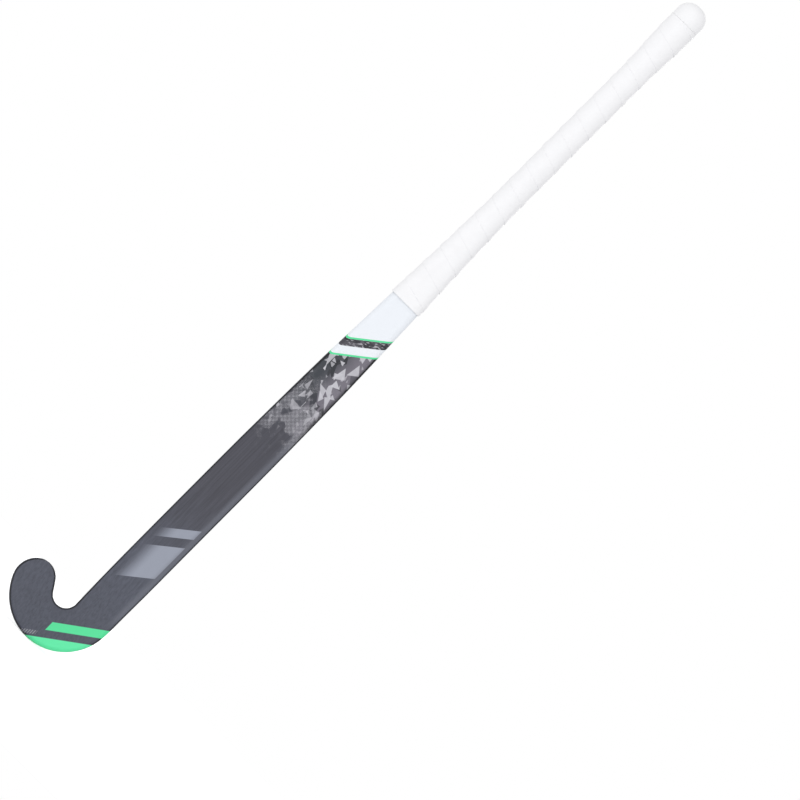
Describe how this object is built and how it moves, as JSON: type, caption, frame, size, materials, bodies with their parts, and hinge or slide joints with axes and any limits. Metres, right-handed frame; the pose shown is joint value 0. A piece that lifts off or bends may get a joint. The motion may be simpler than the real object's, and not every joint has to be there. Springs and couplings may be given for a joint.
{
  "type": "field hockey stick",
  "caption": "Hollow composite field hockey stick with a flat playing face, a tight J-shaped hook, a bowed shaft and a wrapped cushioned grip.",
  "frame": {"origin": "middle of the round stretch of the grip, on the handle's axis", "axes": "+Z along the handle towards the butt, -Y the way the flat playing face looks, -X the way the toe of the hook points"},
  "size_m": [0.1129, 0.0551, 0.9269],
  "materials": {
    "carbon_laminate": "satin lacquered carbon fibre with printed grey, white and green bands",
    "foam_core": "rigid polyurethane foam",
    "aramid_sheet": "resin-filled aramid cloth",
    "inner_tube": "cured carbon braid",
    "damper_foam": "soft polyurethane foam",
    "plug_plastic": "moulded ABS",
    "cap_rubber": "white moulded rubber, satin",
    "underlay_foam": "thin cushion foam",
    "grip_tape": "white cushioned polyurethane wrap, matt with fine creases"
  },
  "bodies": {
    "root": {"outer_laminate": "carbon_laminate", "hook_core": "foam_core", "hook_face_plate": "aramid_sheet", "heel_tube": "inner_tube", "toe_tube": "inner_tube", "handle_damper": "damper_foam", "butt_plug": "plug_plastic", "butt_cap": "cap_rubber", "grip_underlay": "underlay_foam", "grip_tape": "grip_tape"}
  },
  "joints": []
}
